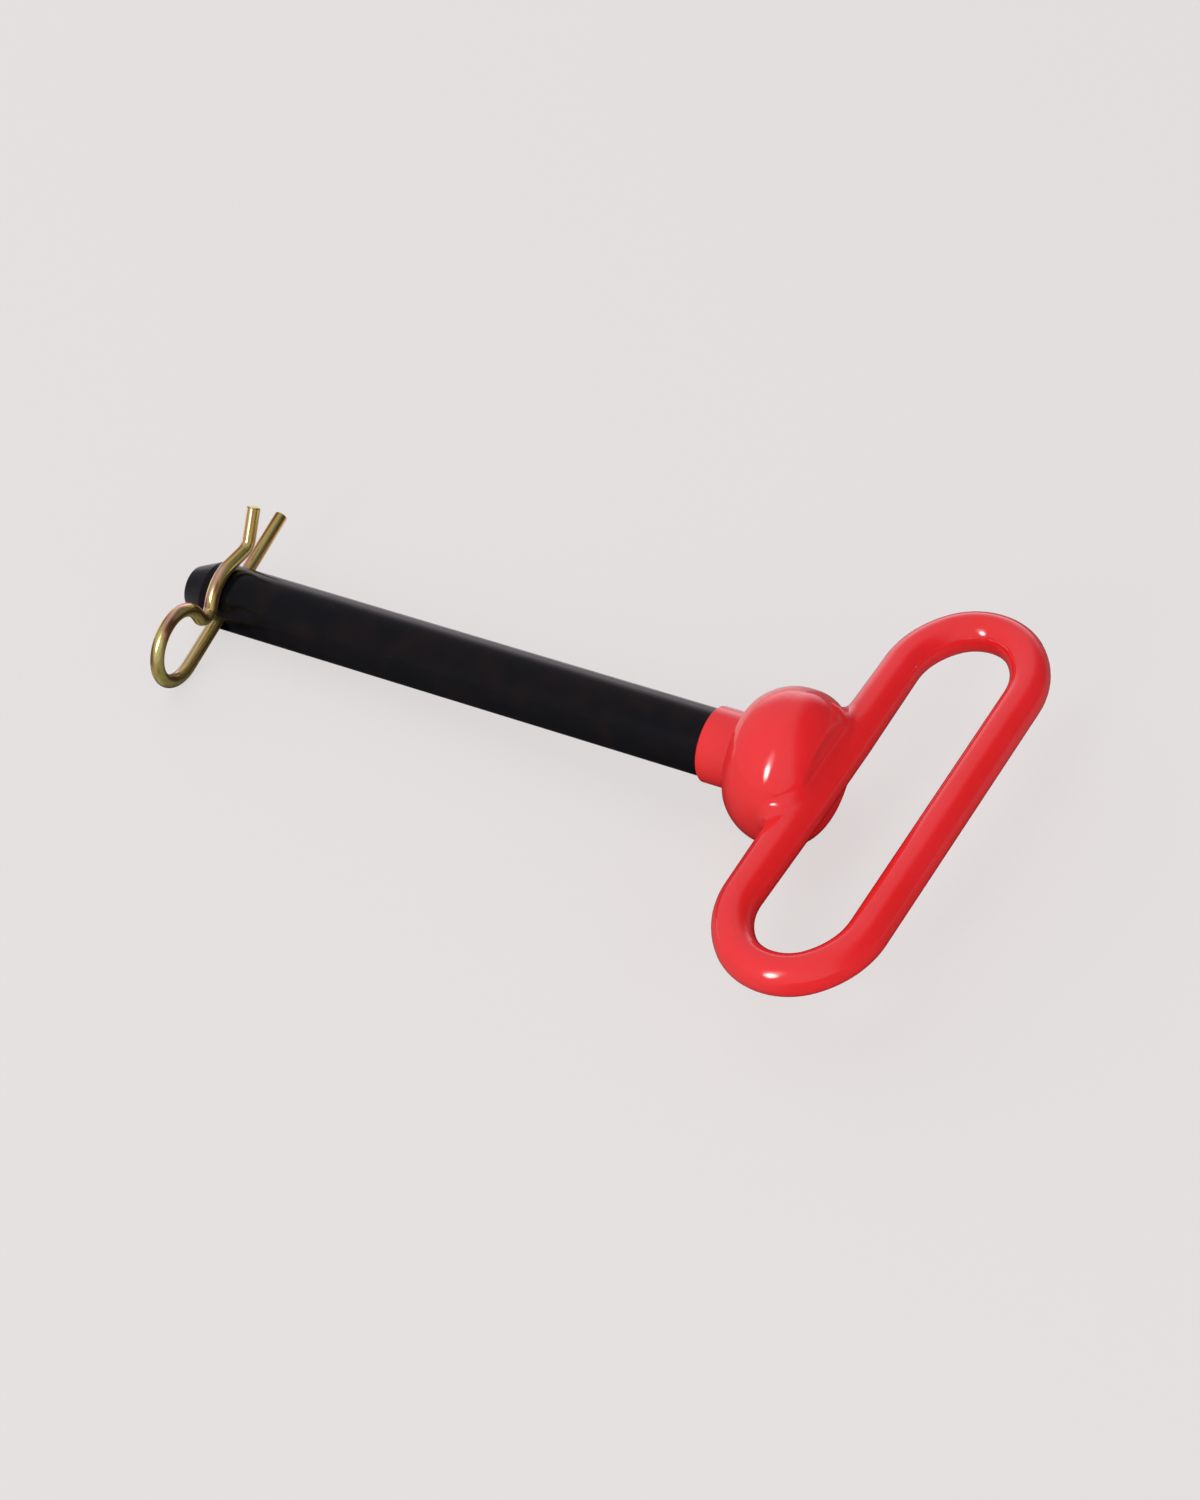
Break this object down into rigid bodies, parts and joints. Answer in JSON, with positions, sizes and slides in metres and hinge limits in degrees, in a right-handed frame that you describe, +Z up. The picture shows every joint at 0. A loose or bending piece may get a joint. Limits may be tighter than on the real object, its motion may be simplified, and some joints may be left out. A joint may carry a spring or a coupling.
{
  "type": "hitch pin",
  "caption": "Steel hitch pin with a forged loop handle and a hairpin clip through its cross hole, lying at rest; the clip pulls out sideways.",
  "frame": {"origin": "middle of the footprint, on the surface the pin lies on", "axes": "+Z up, +X along the shank from the nose towards the handle, +Y towards the clip's free ends"},
  "size_m": [0.2458, 0.1472, 0.0436],
  "materials": {
    "black_shank": "satin",
    "red_handle": "gloss",
    "zinc_clip": "yellow zinc plated"
  },
  "bodies": {
    "pin": {"pin_shank": "black_shank", "loop_handle": "red_handle"},
    "clip": {"hairpin_clip": "zinc_clip"}
  },
  "joints": [
    {"name": "clip_pull", "type": "slide", "parent": "pin", "child": "clip", "axis": [0.0197, -0.9542, -0.2984], "range_m": [0, 0.055], "deforming": ["hairpin_clip"]}
  ]
}
